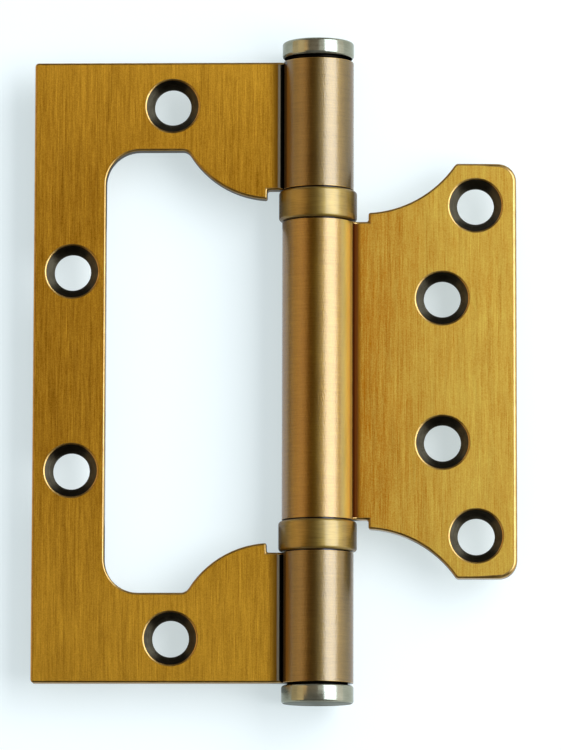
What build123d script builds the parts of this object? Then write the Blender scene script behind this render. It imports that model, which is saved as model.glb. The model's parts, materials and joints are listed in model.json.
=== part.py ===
from build123d import *
import os
from math import acos, asin, cos, degrees, floor, pi, sin, sqrt, tan

# Non-mortise hinge, shown opened flat. Millimetres.
# The pin runs along Z with the origin at its middle. The outer leaf reaches towards -X, the inner leaf
# towards +X, and the countersunk faces look towards -Y.

# Sheet, pin and roll
sheet = 2.5                  # thickness of both leaves
pin_diameter = 6.4
pin_fit = 0.05               # radial clearance of the pin in the knuckles
bend_inside = 1.25           # inside radius of the bend where a leaf runs into its knuckle
seam_gap = 0.65              # gap left between the rolled end and the bend
pin_chamfer = 0.5

# Outer leaf
leaf_height = 100.0
outer_reach = 45.6           # pin axis to the free edge
outer_knuckle = 20.8         # length of each of the two knuckles
stile_width = 11.6           # upright strip between the free edge and the window
arm_width = 14.4             # top and bottom strips, between the window and the ends
leaf_corner = 0.6            # rounding of the two free corners
window_corner = 5.4          # rounding of the window's far corners
shoulder_radius = 15.5       # convex edge that widens each arm towards its knuckle
shoulder_inset = 7.35        # pin axis to the centre of that edge
shoulder_round = 1.5         # rounding where the shoulder meets the window's straight edge
notch_step = 1.55            # how far the shoulder passes the end of the knuckle
notch_gap = 1.85             # clear space beside the bearings, cut into both leaves

# Inner leaf
nest_gap = 2.2               # gap all round when the inner leaf lies in the window
tip_corner = 3.0             # rounding of the two free corners
tip_round = 0.8              # rounding where the tip meets its concave shoulder

# Screw holes, for countersunk wood screws
hole_diameter = 5.9
head_diameter = 8.6          # at the face, with a 90 degree countersink
stile_hole_edge = 6.2        # free edge to the stile pair
stile_hole_pitch = 32.1
arm_hole_edge = 22.2         # free edge to the arm pair
arm_hole_end = 7.1           # leaf end to the arm pair
middle_hole_edge = 11.9      # free edge to the inner leaf's middle pair
middle_hole_pitch = 23.2
tip_hole_edge = 6.55         # free edge to the inner leaf's tip pair
tip_hole_end = 6.8           # leaf end to the tip pair

# Thrust ball bearings
ball_diameter = 2.0
ball_fit = 0.05              # clearance between a ball and each race
ball_spacing = 0.14          # least gap between neighbouring balls
ball_space = 0.28            # clearance from the balls to the pin and to the casing
ball_sides = 6               # each ball has few flat faces, because the balls are many and hidden
race_thickness = 1.55
race_fit = 0.1               # clearance round the races
casing_wall = 0.5
casing_lip = 0.6             # how far the casing's lips reach in over the races
casing_chamfer = 0.4         # outer edges of the casing
casing_recess = 0.2          # how far the races stand out of the casing

# End caps
cap_height = 2.65
cap_chamfer = 0.35           # the head's outer edge
neck_height = 0.6
neck_depth = 0.9             # depth of the groove under the head
spigot_length = 5.0          # what goes into the knuckle's bore
spigot_fit = 0.02
pin_end_gap = 0.3            # between the pin and each spigot

# Worked out from the sizes above
leaf_end = leaf_height / 2
front_face = -sheet / 2
bore_radius = pin_diameter / 2 + pin_fit
knuckle_radius = bore_radius + sheet
bend_middle = bend_inside + sheet / 2
bend_outside = bend_inside + sheet
bend_to_pin = bend_middle + bore_radius + sheet / 2
bend_start = sqrt(bend_to_pin ** 2 - bend_middle ** 2)

ball_radius = ball_diameter / 2
ball_pitch = pin_diameter / 2 + ball_space + ball_radius
casing_inside = ball_pitch + ball_radius + ball_space
casing_outside = casing_inside + casing_wall
race_face = ball_radius + ball_fit
race_seat = race_face + race_thickness
casing_end = race_seat - casing_recess

knuckle_end = leaf_end - outer_knuckle
bearing_middle = knuckle_end - race_seat
inner_knuckle_end = bearing_middle - race_seat

window_edge = outer_reach - stile_width
window_half = leaf_end - arm_width
inner_reach = window_edge - nest_gap
inner_half = window_half - nest_gap
notch_edge = casing_outside + notch_gap
shoulder_height = knuckle_end - notch_step + shoulder_radius


def rolled_section(reach):
    """Section across the pin: a flat leaf towards -X, bent to the back and rolled round the pin.

    The flat part lies on the pin's own plane. A bend towards +Y meets the knuckle's ring in a smooth
    line, and the ring goes round the back and the front until it is one seam gap from the bend.
    """
    lean = degrees(asin(bend_middle / bend_to_pin))
    corner_to_bend = bend_outside + seam_gap
    turn = (knuckle_radius ** 2 + bend_to_pin ** 2 - corner_to_bend ** 2) / (2 * knuckle_radius * bend_to_pin)
    past = degrees(acos(turn)) - lean
    roll = 360 - lean - past
    bend = (-bend_start, bend_middle)
    bore = CenterArc((0, 0), bore_radius, 180 - lean, -roll)
    ring = CenterArc((0, 0), knuckle_radius, past - 180, roll)
    outline = [
        Line((-reach, front_face), (-bend_start, front_face)),
        CenterArc(bend, bend_outside, -90, 90 - lean),
        bore,
        Line(bore @ 1, ring @ 0),
        ring,
        CenterArc(bend, bend_inside, -lean, lean - 90),
        Line((-bend_start, -front_face), (-reach, -front_face)),
        Line((-reach, -front_face), (-reach, front_face)),
    ]
    return make_face(outline)


def between(left, right, half_height):
    """Rectangle from one X to another, centred on the pin's middle."""
    return Pos((left + right) / 2, 0) * Rectangle(right - left, 2 * half_height)


def shouldered(shape, side, radius):
    """Shape without the two round shoulders beside its knuckle end."""
    for end in (-1, 1):
        shape -= Pos(side * shoulder_inset, end * shoulder_height) * Circle(radius)
    return shape


def shoulder_corners(shape, side):
    """The two corners where the straight top and bottom edges meet the shoulders."""
    rows = shape.vertices().group_by(Axis.Y)
    near_pin = -1 if side < 0 else 0
    return [row.sort_by(Axis.X)[near_pin] for row in (rows[0], rows[-1])]


def window_outline():
    """The outer leaf's window, as seen from the front."""
    window = shouldered(between(-window_edge, -notch_edge, window_half), -1, shoulder_radius)
    window = fillet(window.vertices().group_by(Axis.X)[0], window_corner)
    return fillet(shoulder_corners(window, -1), shoulder_round)


def inner_outline():
    """The inner leaf and its knuckle, as seen from the front."""
    tip = shouldered(between(notch_edge, inner_reach, inner_half), 1, shoulder_radius + nest_gap)
    tip = fillet(tip.vertices().group_by(Axis.X)[-1], tip_corner)
    tip = fillet(shoulder_corners(tip, 1), tip_round)
    return tip + between(-knuckle_radius - sheet, notch_edge, inner_knuckle_end)


def through(outline):
    """Prism through the leaves from an outline drawn as seen from the front."""
    return extrude(Plane.XZ * outline, 2 * knuckle_radius, both=True)


def screw_hole(x, z):
    """Cutter for one countersunk hole, open to the front."""
    depth = (head_diameter - hole_diameter) / 2
    shank = Cylinder(hole_diameter / 2, 4 * sheet)
    overshoot = sheet / 2
    head = Cone(hole_diameter / 2, head_diameter / 2 + overshoot, depth + overshoot,
                align=(Align.CENTER, Align.CENTER, Align.MAX))
    seat = Plane((x, front_face, z), x_dir=(1, 0, 0), z_dir=(0, -1, 0))
    return seat * (shank + Pos(0, 0, overshoot) * head)


def drilled(leaf, pairs):
    """Leaf with a hole above and a hole below the middle for each pair of (X, Z)."""
    for x, z in pairs:
        for end in (-1, 1):
            leaf -= screw_hole(x, end * z)
    return leaf


def outer_leaf():
    leaf = extrude(rolled_section(outer_reach), leaf_end, both=True)
    leaf = fillet(leaf.edges().filter_by(Axis.Y).group_by(Axis.X)[0], leaf_corner)
    leaf -= through(between(-notch_edge, knuckle_radius + sheet, knuckle_end))
    leaf -= through(window_outline())
    stile_pair = (stile_hole_edge - outer_reach, stile_hole_pitch / 2)
    arm_pair = (arm_hole_edge - outer_reach, leaf_end - arm_hole_end)
    return drilled(leaf, [stile_pair, arm_pair])


def inner_leaf():
    leaf = Rot(0, 0, 180) * extrude(rolled_section(inner_reach), inner_half, both=True)
    leaf &= through(inner_outline())
    middle_pair = (inner_reach - middle_hole_edge, middle_hole_pitch / 2)
    tip_pair = (inner_reach - tip_hole_edge, inner_half - tip_hole_end)
    return drilled(leaf, [middle_pair, tip_pair])


def hinge_pin():
    length = 2 * (leaf_end - spigot_length - pin_end_gap)
    pin = Cylinder(pin_diameter / 2, length)
    return chamfer(pin.edges().filter_by(GeomType.CIRCLE), pin_chamfer)


def turned(profile):
    """Solid of revolution about the pin from a profile of (radius, height)."""
    return revolve(Plane.XZ * profile, Axis.Z)


def ring_profile(inside, outside, low, high):
    """Rectangle in (radius, height)."""
    return Pos((inside + outside) / 2, (low + high) / 2) * Rectangle(outside - inside, high - low)


def end_cap():
    """Upper cap: a button head, a neck that seats on the knuckle and a spigot in its bore."""
    head_radius = knuckle_radius
    head_low = leaf_end + neck_height
    head = ring_profile(0, head_radius, head_low, head_low + cap_height)
    head = chamfer(head.vertices().group_by(Axis.Y)[-1].sort_by(Axis.X)[-1], cap_chamfer)
    neck = ring_profile(0, head_radius - neck_depth, leaf_end, head_low)
    spigot = ring_profile(0, bore_radius - spigot_fit, leaf_end - spigot_length, leaf_end)
    return turned(head + neck + spigot)


def bearing_casing():
    """Upper casing: a thin ring with a lip turned in at each end."""
    inside = casing_inside - casing_lip
    low = bearing_middle - casing_end
    high = bearing_middle + casing_end
    profile = ring_profile(inside, casing_outside, low, high)
    profile = chamfer(profile.vertices().group_by(Axis.X)[-1], casing_chamfer)
    profile -= ring_profile(0, casing_inside, low + casing_wall, high - casing_wall)
    return turned(profile)


def race(side, lip_clearance):
    """Upper bearing's race, above (side 1) or below (side -1) the balls, stepped to clear the lip."""
    bore = pin_diameter / 2 + race_fit
    step = casing_end - casing_wall - lip_clearance
    boss_radius = casing_inside - casing_lip - race_fit
    flange = ring_profile(bore, casing_inside - race_fit, race_face, step)
    boss = ring_profile(bore, boss_radius, race_face, race_seat)
    ring = turned(flange + boss)
    if side < 0:
        ring = upside_down(ring)
    return Pos(0, 0, bearing_middle) * ring


def ball():
    """Ball with few flat faces: a prism whose upper and lower ends slope in at 45 degrees."""
    waist = ball_radius * tan(pi / 8)
    outline = RegularPolygon(ball_radius, ball_sides)
    end = Pos(0, 0, waist) * extrude(outline, ball_radius - waist, taper=45)
    return extrude(outline, waist, both=True) + end + upside_down(end)


def ball_ring():
    """Upper bearing's full ring of balls, each a solid of its own."""
    count = floor(pi / asin((ball_diameter + ball_spacing) / (2 * ball_pitch)))
    balls = []
    for index in range(count):
        angle = 2 * pi * index / count
        place = Pos(ball_pitch * cos(angle), ball_pitch * sin(angle), bearing_middle)
        balls.append(place * ball())
    return Compound(balls)


def upside_down(piece):
    """The same piece for the other end of the pin."""
    return Rot(180, 0, 0) * piece


def pieces():
    """Every piece by name, with the upper set repeated at the lower end."""
    upper = {
        "end_cap": end_cap(),
        "bearing_casing": bearing_casing(),
        "fixed_race": race(1, 0),
        "moving_race": race(-1, race_fit),
        "bearing_balls": ball_ring(),
    }
    named = {"outer_leaf": outer_leaf(), "inner_leaf": inner_leaf(), "hinge_pin": hinge_pin()}
    for name, piece in upper.items():
        named["upper_" + name] = piece
        named["lower_" + name] = upside_down(piece)
    return named


os.makedirs("parts", exist_ok=True)
for name, piece in pieces().items():
    export_step(piece, os.path.join("parts", name + ".step"))
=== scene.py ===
import json
import math

import bmesh
import bpy
import numpy as np
from mathutils import Matrix, Vector


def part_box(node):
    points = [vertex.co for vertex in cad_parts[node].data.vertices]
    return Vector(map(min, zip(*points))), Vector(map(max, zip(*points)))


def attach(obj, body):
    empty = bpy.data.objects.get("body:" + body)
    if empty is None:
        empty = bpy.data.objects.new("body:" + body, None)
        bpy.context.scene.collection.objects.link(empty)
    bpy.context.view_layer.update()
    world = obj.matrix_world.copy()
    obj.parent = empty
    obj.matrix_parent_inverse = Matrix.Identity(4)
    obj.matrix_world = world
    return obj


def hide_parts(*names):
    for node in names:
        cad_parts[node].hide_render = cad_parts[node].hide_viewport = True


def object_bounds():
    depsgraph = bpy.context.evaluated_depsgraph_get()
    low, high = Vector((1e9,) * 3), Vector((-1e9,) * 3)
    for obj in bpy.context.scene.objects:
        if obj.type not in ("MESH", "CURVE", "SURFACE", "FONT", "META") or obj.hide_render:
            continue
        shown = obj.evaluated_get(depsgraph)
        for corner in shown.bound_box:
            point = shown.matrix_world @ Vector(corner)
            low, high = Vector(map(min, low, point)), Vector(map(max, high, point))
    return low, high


# Non-mortise hinge, opened flat, in antique gold plating. Metres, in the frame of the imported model:
# the pin runs along Z, the outer leaf reaches towards -X and the countersunk faces look towards -Y.
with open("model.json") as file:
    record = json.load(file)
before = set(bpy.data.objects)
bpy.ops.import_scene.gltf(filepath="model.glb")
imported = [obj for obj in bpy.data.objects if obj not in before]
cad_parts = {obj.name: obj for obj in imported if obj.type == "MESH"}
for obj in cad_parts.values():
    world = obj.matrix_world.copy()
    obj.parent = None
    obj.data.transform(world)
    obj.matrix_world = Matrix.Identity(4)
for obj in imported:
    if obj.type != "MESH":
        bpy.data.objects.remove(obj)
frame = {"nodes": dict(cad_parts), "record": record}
cad_low, cad_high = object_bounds()
nodes = frame["nodes"]
mounts = {mount["name"]: mount for mount in frame["record"]["mounts"]}
mm = 0.001

# Leaves, where the frame doesn't give a size
edge_break = 0.34 * mm          # rounding that stamping leaves on the edges
tip_break = 0.6 * mm            # inner leaf's free edge, rubbed rounder
tip_start = 28.6 * mm           # the free edge and its corners lie beyond this X
rim_break = 0.16 * mm           # countersink rims
end_break = 0.1 * mm            # bores of the holes and ends of the knuckles
sharp_edge = math.radians(35)   # an edge that turns more than this is eased
flat_join = math.radians(0.5)   # triangles that turn less than this are one flat face
bore_depth = 0.6 * mm           # a countersink ends within this of the sheet's middle
rim_reach = 4.6 * mm            # from a screw hole's centre to just past its countersink
knuckle_radius = 5.75 * mm
knuckle_margin = 0.05 * mm      # a face this far outside the knuckle still belongs to it
bend_start = 6.54 * mm          # from the pin's axis to where a flat leaf begins to bend
flat_facing = 0.95              # share of a normal along Y above which a face is a flat of the sheet
cut_facing = 0.3                # and below which it is a cut edge
end_facing = 0.5                # share of a normal along Z above which a knuckle's face is its end
hole_map = "round the hole"     # UV map for the countersinks and bores

# End caps, with 1 for the upper one and -1 for the lower one
cap_round = 0.45 * mm                               # outer edge of the head
cap_under_round = {1: 0.55 * mm, -1: 0.4 * mm}      # edge of the head beside the groove
neck_height = {1: 0.6 * mm, -1: 0.35 * mm}          # groove under the head
neck_depth = 0.9 * mm
neck_round = 0.15 * mm
spigot_length = 5.0 * mm
spigot_radius = 3.23 * mm
spigot_round = 0.2 * mm
groove_margin = 0.1 * mm                            # painted shade reaches this far past the groove
end_margin = 0.05 * mm                              # faces this near to the tip are its end face

# Bearings
casing_round = 0.5 * mm
casing_wall = 0.5 * mm
casing_lip = 0.6 * mm
lip_round = 0.12 * mm
ball_radius = 1.0 * mm
ball_count = 13
ball_pitch = 4.48 * mm          # radius of the circle that the balls run on

# Meshes
around = 144                    # steps round a turned piece
around_ball = 20                # steps round a ball
weld = 0.001 * mm               # points nearer than this become one

# The photograph's view
camera_azimuth = math.radians(1.903)
camera_elevation = math.radians(-7.302)
camera_roll = math.radians(0.143)
camera_distance = 861.09 * mm
camera_aim = Vector((-5.975, 0.0, -0.599)) * mm
sensor_width = 36.0             # millimetres, on the picture's long side
focal_pixels = 5382.55
picture_height = 750


def linear(code):
    """Linear colour with alpha from an sRGB hex code."""
    srgb = np.array([int(code[i:i + 2], 16) for i in (1, 3, 5)]) / 255
    low = srgb / 12.92
    high = ((srgb + 0.055) / 1.055) ** 2.4
    return (*np.where(srgb <= 0.04045, low, high).tolist(), 1.0)


def add(tree, kind, inputs=None, **properties):
    """Adds a node with its properties and inputs: values, hex colours or outputs of other nodes."""
    node = tree.nodes.new("ShaderNode" + kind)
    for name, value in properties.items():
        setattr(node, name, value)
    for name, value in (inputs or {}).items():
        if isinstance(value, bpy.types.NodeSocket):
            tree.links.new(value, node.inputs[name])
        else:
            node.inputs[name].default_value = linear(value) if isinstance(value, str) else value
    return node


def new_material(name):
    """Empty node material, with its tree."""
    material = bpy.data.materials.new(name)
    material.use_nodes = True
    material.node_tree.nodes.clear()
    return material, material.node_tree


# Geometry


def new_piece(name, mesh):
    """Object for a finished mesh, at the origin."""
    piece = bpy.data.objects.new(name, mesh)
    bpy.context.scene.collection.objects.link(piece)
    return piece


def grid_faces(rows, columns, wrap_rows, wrap_columns):
    """Four corner numbers of each cell of a grid of points, with either direction closed on itself."""
    row = np.arange(rows if wrap_rows else rows - 1)[:, None]
    column = np.arange(columns if wrap_columns else columns - 1)[None, :]
    next_row = (row + 1) % rows
    next_column = (column + 1) % columns
    corners = (row * columns + column, row * columns + next_column,
               next_row * columns + next_column, next_row * columns + column)
    return np.stack([np.broadcast_to(c, (row.size, column.size)) for c in corners], -1).reshape(-1, 4)


def mesh_from(name, points, faces):
    """Smooth mesh from arrays, with doubled pole points merged and faces pointing outwards."""
    mesh = bpy.data.meshes.new(name)
    mesh.from_pydata(points.tolist(), [], faces.tolist())
    work = bmesh.new()
    work.from_mesh(mesh)
    bmesh.ops.remove_doubles(work, verts=work.verts, dist=weld)
    bmesh.ops.recalc_face_normals(work, faces=work.faces)
    work.to_mesh(mesh)
    work.free()
    mesh.shade_smooth()
    return mesh


def face_vectors(mesh, name):
    """One vector of every face, its center or its normal, as an array."""
    values = np.empty(len(mesh.polygons) * 3)
    mesh.polygons.foreach_get(name, values)
    return values.reshape(-1, 3)


def rounded(corners, steps=6):
    """Profile of (radius, height) through corners (radius, height, rounding).

    Each corner becomes an arc that touches both of its sides: its centre lies on the corner's bisector, at
    rounding / sin(half the corner's angle), and the arc turns evenly from one side to the other.
    """
    points = []
    place = np.array([corner[:2] for corner in corners], float)
    for index, (*_, rounding) in enumerate(corners):
        here = place[index]
        if rounding == 0:
            points.append(here[None, :])
            continue
        back = place[index - 1] - here
        ahead = place[(index + 1) % len(corners)] - here
        back /= np.linalg.norm(back)
        ahead /= np.linalg.norm(ahead)
        half = math.acos(float(np.clip(back @ ahead, -1, 1))) / 2
        middle = here + (back + ahead) / np.linalg.norm(back + ahead) * rounding / math.sin(half)
        start = here + back * rounding / math.tan(half) - middle
        sweep = np.linspace(0, math.pi - 2 * half, steps + 1)[:, None]
        turn = np.sign(back[0] * ahead[1] - back[1] * ahead[0])
        side = -turn * np.array([-start[1], start[0]])
        points.append(middle + np.cos(sweep) * start + np.sin(sweep) * side)
    return np.concatenate(points)


def turned(name, profile, closed):
    """Turned piece: profile point (r, h) at angle a is (r cos a, r sin a, h), with a right round the pin."""
    angle = np.linspace(0, 2 * math.pi, around, endpoint=False)[None, :]
    radius, height = profile[:, :1], profile[:, 1:]
    points = np.stack([radius * np.cos(angle), radius * np.sin(angle), height + 0 * angle], -1)
    faces = grid_faces(len(profile), around, closed, True)
    return new_piece(name, mesh_from(name, points.reshape(-1, 3), faces))


def end_cap(node, end):
    """Cap: a button head with a rounded rim, a groove under it and a spigot in the knuckle's bore.

    The groove takes the second material and the end face the third.
    """
    low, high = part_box(node)
    head = high.x
    tip = max(abs(low.z), abs(high.z))
    foot = min(abs(low.z), abs(high.z))
    seat = foot + spigot_length
    neck = seat + neck_height[end]
    corners = [(0, foot, 0), (spigot_radius, foot, spigot_round), (spigot_radius, seat, 0),
               (head - neck_depth, seat, 0), (head - neck_depth, neck, neck_round),
               (head, neck, cap_under_round[end]), (head, tip, cap_round), (0, tip, 0)]
    cap = turned(node + "_turned", rounded(corners) * (1, end), False)
    height = np.abs(face_vectors(cap.data, "center")[:, 2])
    # The groove is painted near black: painted shade between the head and the knuckle
    in_groove = (height > seat - groove_margin) & (height < neck + groove_margin)
    finish = np.select([height > tip - end_margin, in_groove], [2, 1], 0)
    cap.data.polygons.foreach_set("material_index", finish.astype(np.int32))
    return cap


def bearing_casing(node):
    """Casing: a thin ring with rounded shoulders and a lip turned in at each end."""
    low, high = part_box(node)
    outside = high.x
    inside = outside - casing_wall
    lip = inside - casing_lip
    floor_z, ceiling_z = low.z + casing_wall, high.z - casing_wall
    corners = [(lip, low.z, lip_round), (outside, low.z, casing_round),
               (outside, high.z, casing_round), (lip, high.z, lip_round),
               (lip, ceiling_z, lip_round), (inside, ceiling_z, 0),
               (inside, floor_z, 0), (lip, floor_z, lip_round)]
    return turned(node + "_drawn", rounded(corners), True)


def bearing_balls(node):
    """Full ring of balls: spheres of latitude v and longitude u, set round the pin at equal angles."""
    low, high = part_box(node)
    u = np.linspace(0, 2 * math.pi, around_ball, endpoint=False)[None, :]
    v = np.linspace(-math.pi / 2, math.pi / 2, around_ball // 2 + 1)[:, None]
    ball = np.stack([np.cos(v) * np.cos(u), np.cos(v) * np.sin(u), np.sin(v) + 0 * u], -1)
    ball = ball.reshape(-1, 3) * ball_radius
    place = np.linspace(0, 2 * math.pi, ball_count, endpoint=False)
    level = 0 * place + (low.z + high.z) / 2
    centre = np.stack([ball_pitch * np.cos(place), ball_pitch * np.sin(place), level], -1)
    points = (centre[:, None, :] + ball[None, :, :]).reshape(-1, 3)
    cells = grid_faces(v.size, u.size, False, True)
    faces = (np.arange(ball_count)[:, None, None] * len(ball) + cells[None, :, :]).reshape(-1, 4)
    return new_piece(node + "_round", mesh_from(node + "_round", points, faces))


def hole_centres(*names):
    """Screw hole centres (X, Z) of the bolt patterns with these names."""
    centres = []
    for name in names:
        x, _, z = mounts[name]["pos_m"]
        half = mounts[name]["dims"]["spacing_y_mm"] * mm / 2
        centres += [(x, z - half), (x, z + half)]
    return np.array(centres)


def rounding_at(spot, holes):
    """Rounding of a leaf's sharp edge whose middle is at spot. A countersink meets its bore unrounded."""
    at_hole = np.linalg.norm(holes - (spot.x, spot.z), axis=1).min() < rim_reach
    at_knuckle = math.hypot(spot.x, spot.y) < knuckle_radius + end_break
    if at_hole and abs(spot.y) < bore_depth:
        return 0.0
    if at_hole and spot.y < -bore_depth:
        return rim_break
    if at_hole or at_knuckle:
        return end_break
    return tip_break if spot.x > tip_start and spot.y < 0 else edge_break


def weight_edges(mesh, holes):
    """Joins the triangles of each flat face and weights each sharp edge: its rounding over tip_break."""
    work = bmesh.new()
    work.from_mesh(mesh)
    bmesh.ops.remove_doubles(work, verts=work.verts, dist=weld)
    bmesh.ops.dissolve_limit(work, angle_limit=flat_join, verts=work.verts, edges=work.edges)
    ease_share = work.edges.layers.float.new("bevel_weight_edge")
    for edge in work.edges:
        if edge.calc_face_angle(0) > sharp_edge:
            middle = (edge.verts[0].co + edge.verts[1].co) / 2
            edge[ease_share] = rounding_at(middle, holes) / tip_break
    work.to_mesh(mesh)
    work.free()


def sort_finishes(mesh, holes):
    """Gives each face its material: 1 on the roll, 2 in the holes, 4 on the cut edges and 0 elsewhere."""
    centre = face_vectors(mesh, "center")
    facing = np.abs(face_vectors(mesh, "normal"))
    from_hole = np.linalg.norm(centre[:, None, (0, 2)] - holes[None, :, :], axis=2).min(1)
    on_knuckle = np.linalg.norm(centre[:, :2], axis=1) < knuckle_radius + knuckle_margin
    in_hole = (from_hole < rim_reach) & (facing[:, 1] < flat_facing)
    cut_edge = (facing[:, 1] < cut_facing) & ~on_knuckle
    on_roll = on_knuckle & (facing[:, 2] < end_facing)
    finish = np.select([in_hole, cut_edge, on_roll], [2, 4, 1], 0)
    mesh.polygons.foreach_set("material_index", finish.astype(np.int32))


def map_round_holes(mesh, holes):
    """UV map round the hole nearest to each face: u is the turn about its centre, v the depth in millimetres.

    Each corner's turn is taken within half a circle of its face's own, so no face crosses the map's seam.
    """
    centre = face_vectors(mesh, "center")
    sides = np.empty(len(mesh.polygons), np.int32)
    corner = np.empty(len(mesh.loops), np.int32)
    spot = np.empty(len(mesh.vertices) * 3)
    mesh.polygons.foreach_get("loop_total", sides)
    mesh.loops.foreach_get("vertex_index", corner)
    mesh.vertices.foreach_get("co", spot)
    face = np.repeat(np.arange(len(sides)), sides)
    at = spot.reshape(-1, 3)[corner]
    nearest = np.linalg.norm(centre[:, None, (0, 2)] - holes[None, :, :], axis=2).argmin(1)
    middle = holes[nearest]
    face_turn = np.arctan2(centre[:, 2] - middle[:, 1], centre[:, 0] - middle[:, 0])[face]
    turn = np.arctan2(at[:, 2] - middle[face, 1], at[:, 0] - middle[face, 0])
    turn = face_turn + (turn - face_turn + math.pi) % (2 * math.pi) - math.pi
    round_hole = np.stack([turn / (2 * math.pi), at[:, 1] / mm], -1)
    mesh.uv_layers.new(name=hole_map).data.foreach_set("uv", round_hole.ravel())


def pressed_leaf(node, holes):
    """Leaf from its own solid, with its sharp edges eased: each by its own share of tip_break.

    The eased edges take the fourth material, and sort_finishes names the others.
    """
    mesh = nodes[node].data.copy()
    mesh.name = node + "_pressed"
    mesh.materials.clear()
    while mesh.uv_layers:
        mesh.uv_layers.remove(mesh.uv_layers[0])
    weight_edges(mesh, holes)
    sort_finishes(mesh, holes)
    map_round_holes(mesh, holes)
    mesh.shade_smooth()
    piece = new_piece(node + "_pressed", mesh)
    ease = piece.modifiers.new("eased edges", "BEVEL")
    ease.width = tip_break
    ease.segments = 3
    ease.limit_method = "WEIGHT"
    ease.loop_slide = False
    ease.use_clamp_overlap = False
    ease.material = 3
    level = piece.modifiers.new("flat faces stay flat", "WEIGHTED_NORMAL")
    level.weight = 100
    return piece


# Materials


def grains(tree, place, size, detail=2.0, roughness=0.5):
    """Pattern of noise whose grains measure size (x, y, z) in metres."""
    scaled = add(tree, "Mapping", {"Vector": place, "Scale": [1 / s for s in size]})
    noise = add(tree, "TexNoise", {"Vector": scaled.outputs["Vector"], "Scale": 1.0,
                                   "Detail": detail, "Roughness": roughness})
    return noise.outputs["Fac"]


def weighed(tree, *parts):
    """Sum of weighted patterns about their mean: 0.5 + sum of weight * (pattern - 0.5)."""
    tone = 0.5 - 0.5 * sum(weight for _, weight in parts)
    for pattern, weight in parts:
        tone = add(tree, "Math", {0: pattern, 1: weight, 2: tone}, operation="MULTIPLY_ADD").outputs[0]
    return tone


def layered(tree, ground, *layers):
    """Colour with layers over a ground: each is (colour, cover), and cover 1 hides what is below it."""
    for colour, cover in layers:
        ground = add(tree, "Mix", {0: cover, 6: ground, 7: colour}, data_type="RGBA").outputs[2]
    return ground


def brushed_plate(name, low, high, drift, bend, seam, crease, crease_fade):
    """Antique gold plating on steel sheet, brushed along Z and lacquered.

    The brush leaves hairs about 0.16 mm wide and a few millimetres long, drawn that coarse so that they show,
    and reflections spread across them. drift gives painted light: how the tone brightens over the leaf. Brown
    painted shade lies in the crease beside the knuckle. The bend is painted darker and the seam inside it
    near black, painted shade of the gap; they have no lacquer.
    """
    seam_end = bend_start - 0.35 * mm
    seam_fade = 0.07 * mm
    bend_fade = 0.1 * mm
    material, tree = new_material(name)
    place = add(tree, "TexCoord").outputs["Object"]
    hair = grains(tree, place, (0.15 * mm, 0.15 * mm, 3.2 * mm), 1, 0.5)
    long_hair = grains(tree, place, (0.17 * mm, 0.17 * mm, 24 * mm), 1, 0.5)
    streak = grains(tree, place, (0.45 * mm, 0.45 * mm, 9 * mm), 1, 0.5)
    speck = grains(tree, place, (0.17 * mm, 0.17 * mm, 0.17 * mm), 0)
    cloud = grains(tree, place, (4 * mm, 4 * mm, 7 * mm), 3, 0.6)
    tone = weighed(tree, (hair, 0.75), (long_hair, 0.5), (streak, 0.2), (speck, 0.5), (cloud, 0.33),
                   (drift(tree, place), 1.0))
    across = add(tree, "VectorMath", {0: place, 1: (1, 1, 0)}, operation="MULTIPLY").outputs[0]
    reach = add(tree, "VectorMath", {0: across}, operation="LENGTH").outputs["Value"]
    in_bend = add(tree, "MapRange", {"Value": reach, "From Min": seam_end - seam_fade,
                                     "From Max": seam_end + seam_fade}).outputs["Result"]
    on_flat = add(tree, "MapRange", {"Value": reach, "From Min": bend_start - bend_fade,
                                     "From Max": bend_start + bend_fade}).outputs["Result"]
    past_crease = add(tree, "MapRange", {"Value": reach, "From Min": bend_start,
                                   "From Max": bend_start + crease_fade},
                interpolation_type="SMOOTHSTEP").outputs["Result"]
    # Painted shade: a brown crease beside the knuckle, a darker bend and a near-black seam inside it
    plate = layered(tree, low, (high, tone))
    flat = layered(tree, crease, (plate, past_crease))
    colour = layered(tree, seam, (bend, in_bend), (flat, on_flat))
    roughness = add(tree, "MapRange", {"Value": streak, "To Min": 0.3, "To Max": 0.4}).outputs["Result"]
    lacquer = add(tree, "MapRange", {"Value": on_flat, "To Min": 0.0, "To Max": 0.3}).outputs["Result"]
    bump = add(tree, "Bump", {"Height": hair, "Strength": 0.2, "Distance": 0.004 * mm})
    spread = add(tree, "CombineXYZ", {"X": 1.0})
    shader = add(tree, "BsdfPrincipled", {
        "Base Color": colour, "Metallic": 1.0, "Roughness": roughness, "Anisotropic": 0.7,
        "Coat Weight": lacquer, "Coat Roughness": 0.15,
        "Normal": bump.outputs["Normal"], "Tangent": spread.outputs["Vector"]})
    add(tree, "OutputMaterial", {"Surface": shader.outputs["BSDF"]})
    return material


def painted_light_to_ends(tree, place):
    """The outer leaf is painted paler towards its ends and darker a little above its middle: painted light.
    """
    darkest_z = 8 * mm
    paint_start, paint_full = 14 * mm, 50 * mm
    z = add(tree, "SeparateXYZ", {"Vector": place}).outputs["Z"]
    height = add(tree, "Math", {0: z, 1: -darkest_z}, operation="ADD").outputs[0]
    away = add(tree, "Math", {0: height}, operation="ABSOLUTE").outputs[0]
    return add(tree, "MapRange", {"Value": away, "From Min": paint_start, "From Max": paint_full,
                                  "To Min": 0.34, "To Max": 0.67},
               interpolation_type="SMOOTHSTEP").outputs["Result"]


def painted_light_to_tip(tree, place):
    """The inner leaf is painted paler towards its free edge, the side nearer the key light: painted light."""
    paint_start, paint_full = 6 * mm, 19 * mm
    x = add(tree, "SeparateXYZ", {"Vector": place}).outputs["X"]
    return add(tree, "MapRange", {"Value": x, "From Min": paint_start, "From Max": paint_full,
                                  "To Min": 0.25, "To Max": 0.62}).outputs["Result"]


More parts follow.
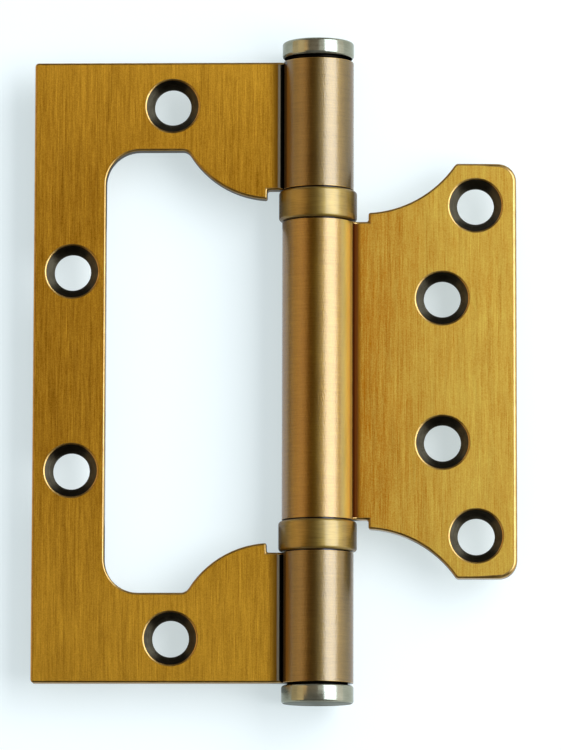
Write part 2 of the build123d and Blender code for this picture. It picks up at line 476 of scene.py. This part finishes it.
def rolled_plate(name, low, high, glancing, side, seam_shade, painted_reflection):
    """The same plating on a knuckle, linished round the pin: browner, under thicker and less even lacquer.

    Fine lines go round it. The seam is on the side of X that side gives: there painted shade, near black,
    reaches seam_shade in front of the pin's axis, and the roll's front beside the leaf takes a painted
    reflection of the leaf.
    """
    seam_front = 1.2 * mm
    seam_fade = 0.3 * mm
    paint_start, paint_full = 3.6 * mm, 4.6 * mm
    material, tree = new_material(name)
    place = add(tree, "TexCoord").outputs["Object"]
    ring = grains(tree, place, (3 * mm, 3 * mm, 0.14 * mm), 3, 0.6)
    patch = grains(tree, place, (3 * mm, 3 * mm, 9 * mm))
    speck = grains(tree, place, (0.26 * mm, 0.26 * mm, 0.3 * mm), 3, 0.6)
    tone = weighed(tree, (ring, 1.1), (patch, 0.6), (speck, 0.6))

    # How far a point belongs to the seam's side and to the front, each from 0 to 1 within a millimetre
    where = add(tree, "SeparateXYZ", {"Vector": place})
    to_seam = add(tree, "Math", {0: where.outputs["X"], 1: side}, operation="MULTIPLY").outputs[0]
    seam_side = add(tree, "Math", {0: to_seam, 1: 1 / mm}, operation="MULTIPLY", use_clamp=True).outputs[0]
    in_front = add(tree, "Math", {0: where.outputs["Y"], 1: -1 / mm},
                   operation="MULTIPLY", use_clamp=True).outputs[0]

    from_seam = add(tree, "Math", {0: where.outputs["Y"], 1: seam_front}, operation="ADD").outputs[0]
    from_seam = add(tree, "Math", {0: from_seam}, operation="ABSOLUTE").outputs[0]
    near_seam = add(tree, "MapRange", {"Value": from_seam, "From Min": seam_shade - seam_front,
                                       "From Max": seam_shade - seam_front + seam_fade,
                                       "To Min": 1.0, "To Max": 0.0}).outputs["Result"]
    shaded = add(tree, "Math", {0: near_seam, 1: seam_side}, operation="MULTIPLY").outputs[0]
    # Where the painted reflection of the leaf lies: the roll's front beside the leaf
    by_leaf = add(tree, "MapRange", {"Value": to_seam, "From Min": paint_start,
                                     "From Max": paint_full}).outputs["Result"]
    rubbed = add(tree, "Math", {0: by_leaf, 1: in_front}, operation="MULTIPLY").outputs[0]
    # The painted reflection of the leaf lies where rubbed covers it; near-black painted shade beside the seam
    colour = layered(tree, low, (high, tone), (painted_reflection, rubbed), ("#070504", shaded))

    roughness = add(tree, "MapRange", {"Value": patch, "To Min": 0.36, "To Max": 0.46}).outputs["Result"]
    lines = add(tree, "Bump", {"Height": ring, "Strength": 0.25, "Distance": 0.004 * mm})
    bump = add(tree, "Bump", {"Height": speck, "Strength": 1.0, "Distance": 0.03 * mm,
                              "Normal": lines.outputs["Normal"]})
    spread = add(tree, "CombineXYZ", {"Z": 1.0})
    shader = add(tree, "BsdfPrincipled", {
        "Base Color": colour, "Metallic": 1.0, "Roughness": roughness, "Anisotropic": 0.4,
        "Specular Tint": glancing, "Coat Weight": 1.0, "Coat Roughness": 0.1, "Coat IOR": 1.58,
        "Normal": bump.outputs["Normal"], "Coat Normal": bump.outputs["Normal"],
        "Tangent": spread.outputs["Vector"]})
    add(tree, "OutputMaterial", {"Surface": shader.outputs["BSDF"]})
    return material


def dark_patina():
    """Dark patina in the countersinks: the drill's rings spread light across themselves."""
    material, tree = new_material("dark antique patina")
    place = add(tree, "TexCoord").outputs["Object"]
    ring = grains(tree, place, (2 * mm, 0.12 * mm, 2 * mm), 2, 0.6)
    patch = grains(tree, place, (1.5 * mm, 1.5 * mm, 1.5 * mm))
    tone = weighed(tree, (ring, 0.7), (patch, 0.8))
    roughness = add(tree, "MapRange", {"Value": ring, "To Min": 0.37, "To Max": 0.43}).outputs["Result"]
    spread = add(tree, "Tangent", direction_type="UV_MAP", uv_map=hole_map)
    shader = add(tree, "BsdfPrincipled", {
        "Base Color": layered(tree, "#241E14", ("#5A5240", tone)), "Metallic": 1.0, "Roughness": roughness,
        "Anisotropic": 1.0, "Anisotropic Rotation": 0.25, "Tangent": spread.outputs["Tangent"]})
    add(tree, "OutputMaterial", {"Surface": shader.outputs["BSDF"]})
    return material


def plated_edge(name, low, high):
    """Plating on an edge, uneven in patches a millimetre or two long."""
    material, tree = new_material(name)
    place = add(tree, "TexCoord").outputs["Object"]
    patch = grains(tree, place, (1.5 * mm, 1.5 * mm, 1.5 * mm), 3, 0.6)
    grain = grains(tree, place, (0.2 * mm, 0.2 * mm, 0.2 * mm))
    tone = weighed(tree, (patch, 1.2), (grain, 0.8))
    roughness = add(tree, "MapRange", {"Value": patch, "To Min": 0.26, "To Max": 0.4}).outputs["Result"]
    shader = add(tree, "BsdfPrincipled", {
        "Base Color": layered(tree, low, (high, tone)), "Metallic": 1.0, "Roughness": roughness,
        "Coat Weight": 0.5, "Coat Roughness": 0.2})
    add(tree, "OutputMaterial", {"Surface": shader.outputs["BSDF"]})
    return material


def turned_plating(name, low, high, glancing, line, patchiness, smoothest, roughest, coat=0.0, haze=0.0):
    """Plating on a turned steel piece: lines of the given width go round it and spread reflections along it.

    smoothest and roughest are the roughness between the lines and on them. haze is the share of the surface
    that scatters light as a dull film does.
    """
    material, tree = new_material(name)
    place = add(tree, "TexCoord").outputs["Object"]
    ring = grains(tree, place, (2.5 * mm, 2.5 * mm, line), 3, 0.6)
    patch = grains(tree, place, (3 * mm, 3 * mm, 2 * mm))
    tone = weighed(tree, (ring, 1.5), (patch, patchiness))
    roughness = add(tree, "MapRange", {"Value": ring, "To Min": smoothest, "To Max": roughest})
    bump = add(tree, "Bump", {"Height": ring, "Strength": 0.3, "Distance": 0.004 * mm})
    spread = add(tree, "Tangent", direction_type="RADIAL", axis="Z")
    shader = add(tree, "BsdfPrincipled", {
        "Base Color": layered(tree, low, (high, tone)), "Metallic": 1.0 - haze,
        "Roughness": roughness.outputs["Result"], "Anisotropic": 0.5, "Anisotropic Rotation": 0.25,
        "Specular Tint": glancing, "Coat Weight": coat, "Coat Roughness": 0.2, "Coat IOR": 1.6,
        "Normal": bump.outputs["Normal"], "Tangent": spread.outputs["Tangent"]})
    add(tree, "OutputMaterial", {"Surface": shader.outputs["BSDF"]})
    return material


patina = dark_patina()
rubbed = plated_edge("antique gold plating, rubbed bright", "#866222", "#BC9650")
cut = plated_edge("antique gold plating, unbrushed", "#3C2A10", "#6C5228")
# The crease, bend and seam colours given here are painted shade beside and inside the knuckle
outer_flat = brushed_plate("antique gold plating on brushed steel, deep", "#825406", "#CC992C", painted_light_to_ends,
                           bend="#6C624E", seam="#080604", crease="#6A480E", crease_fade=1.6 * mm)
inner_flat = brushed_plate("antique gold plating on brushed steel, pale", "#A25F00", "#C5A846", painted_light_to_tip,
                           bend="#361804", seam="#2A0E01", crease="#724406", crease_fade=0.6 * mm)
outer_roll = rolled_plate("antique gold plating on rolled steel, brown", "#5F4819", "#83672C", "#C0A884",
                          side=-1, seam_shade=2.8 * mm, painted_reflection="#745A24")
inner_roll = rolled_plate("antique gold plating on rolled steel, gold", "#76520A", "#967424", "#C8A060",
                          side=1, seam_shade=1.4 * mm, painted_reflection="#BAA64E")
casing_plate = turned_plating("antique gold plating on drawn steel", "#7A6228", "#A4863C", "#584A34",
                              0.13 * mm, patchiness=0.9, smoothest=0.44, roughest=0.58, coat=0.6)
cap_plate = turned_plating("nickel brass plating on turned steel", "#7C7B69", "#9B9B89", "#F0F4F4",
                           0.12 * mm, patchiness=1.5, smoothest=0.15, roughest=0.24, haze=0.2)
cap_end = turned_plating("nickel brass plating on a faced end", "#56564A", "#727266", "#F0F4F4",
                         0.14 * mm, patchiness=0.9, smoothest=0.5, roughest=0.6)
# Painted shade for the groove under each cap's head
groove_shade = turned_plating("painted shade in a groove", "#0A0806", "#1C1812", "#483C2C",
                               0.12 * mm, patchiness=0.9, smoothest=0.4, roughest=0.5)
pin_steel = turned_plating("drawn steel rod", "#77787A", "#9A9B9C", "#FFFFFF",
                           0.2 * mm, patchiness=0.6, smoothest=0.25, roughest=0.38)
bearing_steel = turned_plating("oiled bearing steel", "#38383A", "#565658", "#FFFFFF",
                               0.08 * mm, patchiness=0.6, smoothest=0.2, roughest=0.3)


# Pieces


def stand_in(piece, node, body, slot, *finishes):
    """Gives a piece its materials in order, and puts it on its body in place of its node."""
    for finish in finishes:
        piece.data.materials.append(finish)
    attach(piece, body)
    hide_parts(node)


outer_holes = hole_centres("outer_stile_screws", "outer_arm_screws")
inner_holes = hole_centres("inner_middle_screws", "inner_tip_screws")
stand_in(pressed_leaf("outer_leaf", outer_holes), "outer_leaf", "outer", "outer_leaf_plate",
         outer_flat, outer_roll, patina, rubbed, cut)
stand_in(pressed_leaf("inner_leaf", inner_holes), "inner_leaf", "inner", "inner_leaf_plate",
         inner_flat, inner_roll, patina, rubbed, cut)

kept = {"hinge_pin": pin_steel}
for level, end in (("upper", 1), ("lower", -1)):
    node = level + "_end_cap"
    stand_in(end_cap(node, end), node, "outer", "cap_plate", cap_plate, groove_shade, cap_end)
    node = level + "_bearing_casing"
    stand_in(bearing_casing(node), node, "outer", "casing_plate", casing_plate)
    node = level + "_bearing_balls"
    stand_in(bearing_balls(node), node, level + "_balls", "bearing_steel", bearing_steel)
    kept[level + "_fixed_race"] = bearing_steel
    kept[level + "_moving_race"] = bearing_steel

for node, finish in kept.items():
    nodes[node].data.materials.clear()
    nodes[node].data.materials.append(finish)


# Stage, light and camera


def stage_plane(name, corner, across, up, material):
    """Flat stage: corner + s * across + t * up, for s and t from 0 to 1."""
    s, t = np.meshgrid([0.0, 1.0], [0.0, 1.0])
    points = np.array(corner) + s[..., None] * np.array(across) + t[..., None] * np.array(up)
    mesh = bpy.data.meshes.new(name)
    mesh.from_pydata(points.reshape(-1, 3).tolist(), [], grid_faces(2, 2, False, False).tolist())
    mesh.materials.append(material)
    plane = new_piece(name, mesh)
    return plane


def one_sided_paper(name, colour, lift_strength):
    """Matt white paper that is seen only from its front, so that it hides no view from behind."""
    material, tree = new_material(name)
    matt = add(tree, "BsdfDiffuse", {"Color": colour})
    lift = add(tree, "Emission", {"Color": "#ECFBFF", "Strength": lift_strength})
    front = add(tree, "AddShader", {0: matt.outputs[0], 1: lift.outputs[0]})
    clear = add(tree, "BsdfTransparent")
    behind = add(tree, "NewGeometry").outputs["Backfacing"]
    sheet = add(tree, "MixShader", {0: behind, 1: front.outputs[0], 2: clear.outputs[0]})
    add(tree, "OutputMaterial", {"Surface": sheet.outputs[0]})
    return material


def glow(name, colour, strength, fade=None):
    """Glow for a card that only reflections see, even or fading as (from X, to X, to strength)."""
    material, tree = new_material(name)
    if fade:
        fade_start, fade_end, faded = fade
        place = add(tree, "TexCoord").outputs["Object"]
        x = add(tree, "SeparateXYZ", {"Vector": place}).outputs["X"]
        strength = add(tree, "MapRange", {"Value": x, "From Min": fade_start, "From Max": fade_end,
                                          "To Min": strength, "To Max": faded},
                       interpolation_type="SMOOTHSTEP").outputs["Result"]
    light = add(tree, "Emission", {"Color": colour, "Strength": strength})
    add(tree, "OutputMaterial", {"Surface": light.outputs[0]})
    return material


def only_seen_by(plane, camera=False, glossy=False):
    """Limits which rays meet a stage plane."""
    plane.visible_camera = camera
    plane.visible_glossy = glossy
    plane.visible_diffuse = False
    plane.visible_transmission = glossy
    plane.visible_shadow = False


def reflection_card(name, corner, across, up, strength, colour="#FFFFFF", fade=None):
    """Glowing card that only reflections see."""
    card = stage_plane(name, corner, across, up, glow(name + " card", colour, strength, fade))
    only_seen_by(card, glossy=True)


def softbox(name, place, aim, width, height, radiance, colour, mirrored, mirrored_colour):
    """Area lamp with an even radiance, and a card that reflections see in its place.

    The lamp's power is radiance * pi * area.
    """
    lamp = bpy.data.lights.new(name, "AREA")
    lamp.shape = "RECTANGLE"
    lamp.size = width
    lamp.size_y = height
    lamp.energy = radiance * math.pi * width * height
    lamp.color = linear(colour)[:3]
    box = bpy.data.objects.new(name, lamp)
    bpy.context.scene.collection.objects.link(box)
    box.location = place
    turn = (Vector(aim) - Vector(place)).to_track_quat("-Z", "Y")
    box.rotation_euler = turn.to_euler()
    box.visible_camera = False
    box.visible_glossy = False
    across = turn @ Vector((width, 0, 0))
    up = turn @ Vector((0, height, 0))
    corner = Vector(place) - across / 2 - up / 2
    reflection_card(name + " front", corner, across, up, mirrored, mirrored_colour)


# The hinge lies against an upright table and stands just over a floor
stage_gap = 0.05 * mm
shade_lift = 0.01 * mm
table_y = cad_high.y + stage_gap
paper = one_sided_paper("matt white paper", "#ACB2B6", 0.55)
table = stage_plane("table", (-1.2, table_y, -1.2), (2.4, 0, 0), (0, 0, 2.4), paper)
only_seen_by(table, camera=True, glossy=True)
floor = stage_plane("floor", (-3, -3, cad_low.z - stage_gap), (6, 0, 0), (0, 6, 0), paper)
only_seen_by(floor, camera=True)

# Close under the leaves, what edges and bores mirror of the table is in shade: ranges of X and Z in mm
shaded_paper = one_sided_paper("matt white paper, shaded", "#000000", 0.25)
for name, low_x, high_x, low_z, high_z in (
        ("stile", -47, -33, -24, 24), ("upper arm", -47, -6, 24, 51), ("lower arm", -47, -6, -51, -24),
        ("inner leaf", 14, 33, -34, 34)):
    corner = (low_x * mm, table_y - shade_lift, low_z * mm)
    across = ((high_x - low_x) * mm, 0, 0)
    up = (0, 0, (high_z - low_z) * mm)
    only_seen_by(stage_plane("shade under the " + name, corner, across, up, shaded_paper), glossy=True)

reflection_card("dark front", (-0.9, -0.9, -0.7), (0.96, 0, 0), (0, 0, 1.4), 1.6, "#FFCE88",
                fade=(-0.7, -0.47, 0.2))
reflection_card("dark lower front", (-0.85, -0.89, -0.75), (1.75, 0, 0), (0, 0, 0.76), 0.03)
reflection_card("dark upper front", (-0.85, -0.89, 0.45), (1.75, 0, 0), (0, 0, 0.45), 0.03)
reflection_card("warm left", (-0.9, 0, -0.7), (0, -0.4, 0), (0, 0, 1.4), 1.05, "#FFE4B0")
reflection_card("warm front left", (-0.9, -0.4, -0.7), (0, -0.5, 0), (0, 0, 1.4), 1.5, "#FFDEA4")
reflection_card("bright right", (0.9, -0.55, -0.7), (0, 0.55, 0), (0, 0, 1.4), 1.5)
reflection_card("dark above", (-0.9, -0.9, 0.9), (1.8, 0, 0), (0, 0.85, 0), 0.1)
reflection_card("dark below", (-0.9, -0.9, -0.75), (1.8, 0, 0), (0, 0.85, 0), 0.03)
softbox("key softbox", (0.51, -0.535, 0.14), (0, 0, 0), width=0.56, height=0.9,
        radiance=5.4, colour="#FFFDFB", mirrored=7.9, mirrored_colour="#D7E6FF")

# A pale room: white where it is seen, dimmer where it lights
world = bpy.data.worlds.new("pale room")
bpy.context.scene.world = world
world.use_nodes = True
room = world.node_tree
room.nodes.clear()
rays = add(room, "LightPath").outputs
seen = add(room, "Math", {0: rays["Is Camera Ray"], 1: rays["Is Glossy Ray"]}, operation="MAXIMUM")
seen = add(room, "Math", {0: seen.outputs[0], 1: rays["Is Transmission Ray"]}, operation="MAXIMUM")
strength = add(room, "MapRange", {"Value": seen.outputs[0], "To Min": 0.55, "To Max": 1.0})
walls = add(room, "Background", {"Color": "#FDFFFF", "Strength": strength.outputs["Result"]})
add(room, "OutputWorld", {"Surface": walls.outputs[0]})

back = Vector((math.sin(camera_azimuth) * math.cos(camera_elevation),
               -math.cos(camera_azimuth) * math.cos(camera_elevation), math.sin(camera_elevation)))
camera_data = bpy.data.cameras.new("camera")
camera_data.sensor_width = sensor_width
camera_data.lens = focal_pixels * sensor_width / picture_height
camera_data.clip_start = 0.05
camera_data.clip_end = 10
camera = bpy.data.objects.new("camera", camera_data)
bpy.context.scene.collection.objects.link(camera)
turn = (-back).to_track_quat("-Z", "Y").to_matrix() @ Matrix.Rotation(camera_roll, 3, "Z")
camera.matrix_world = Matrix.Translation(camera_aim + back * camera_distance) @ turn.to_4x4()
bpy.context.scene.camera = camera
bpy.context.scene.view_settings.view_transform = "Standard"
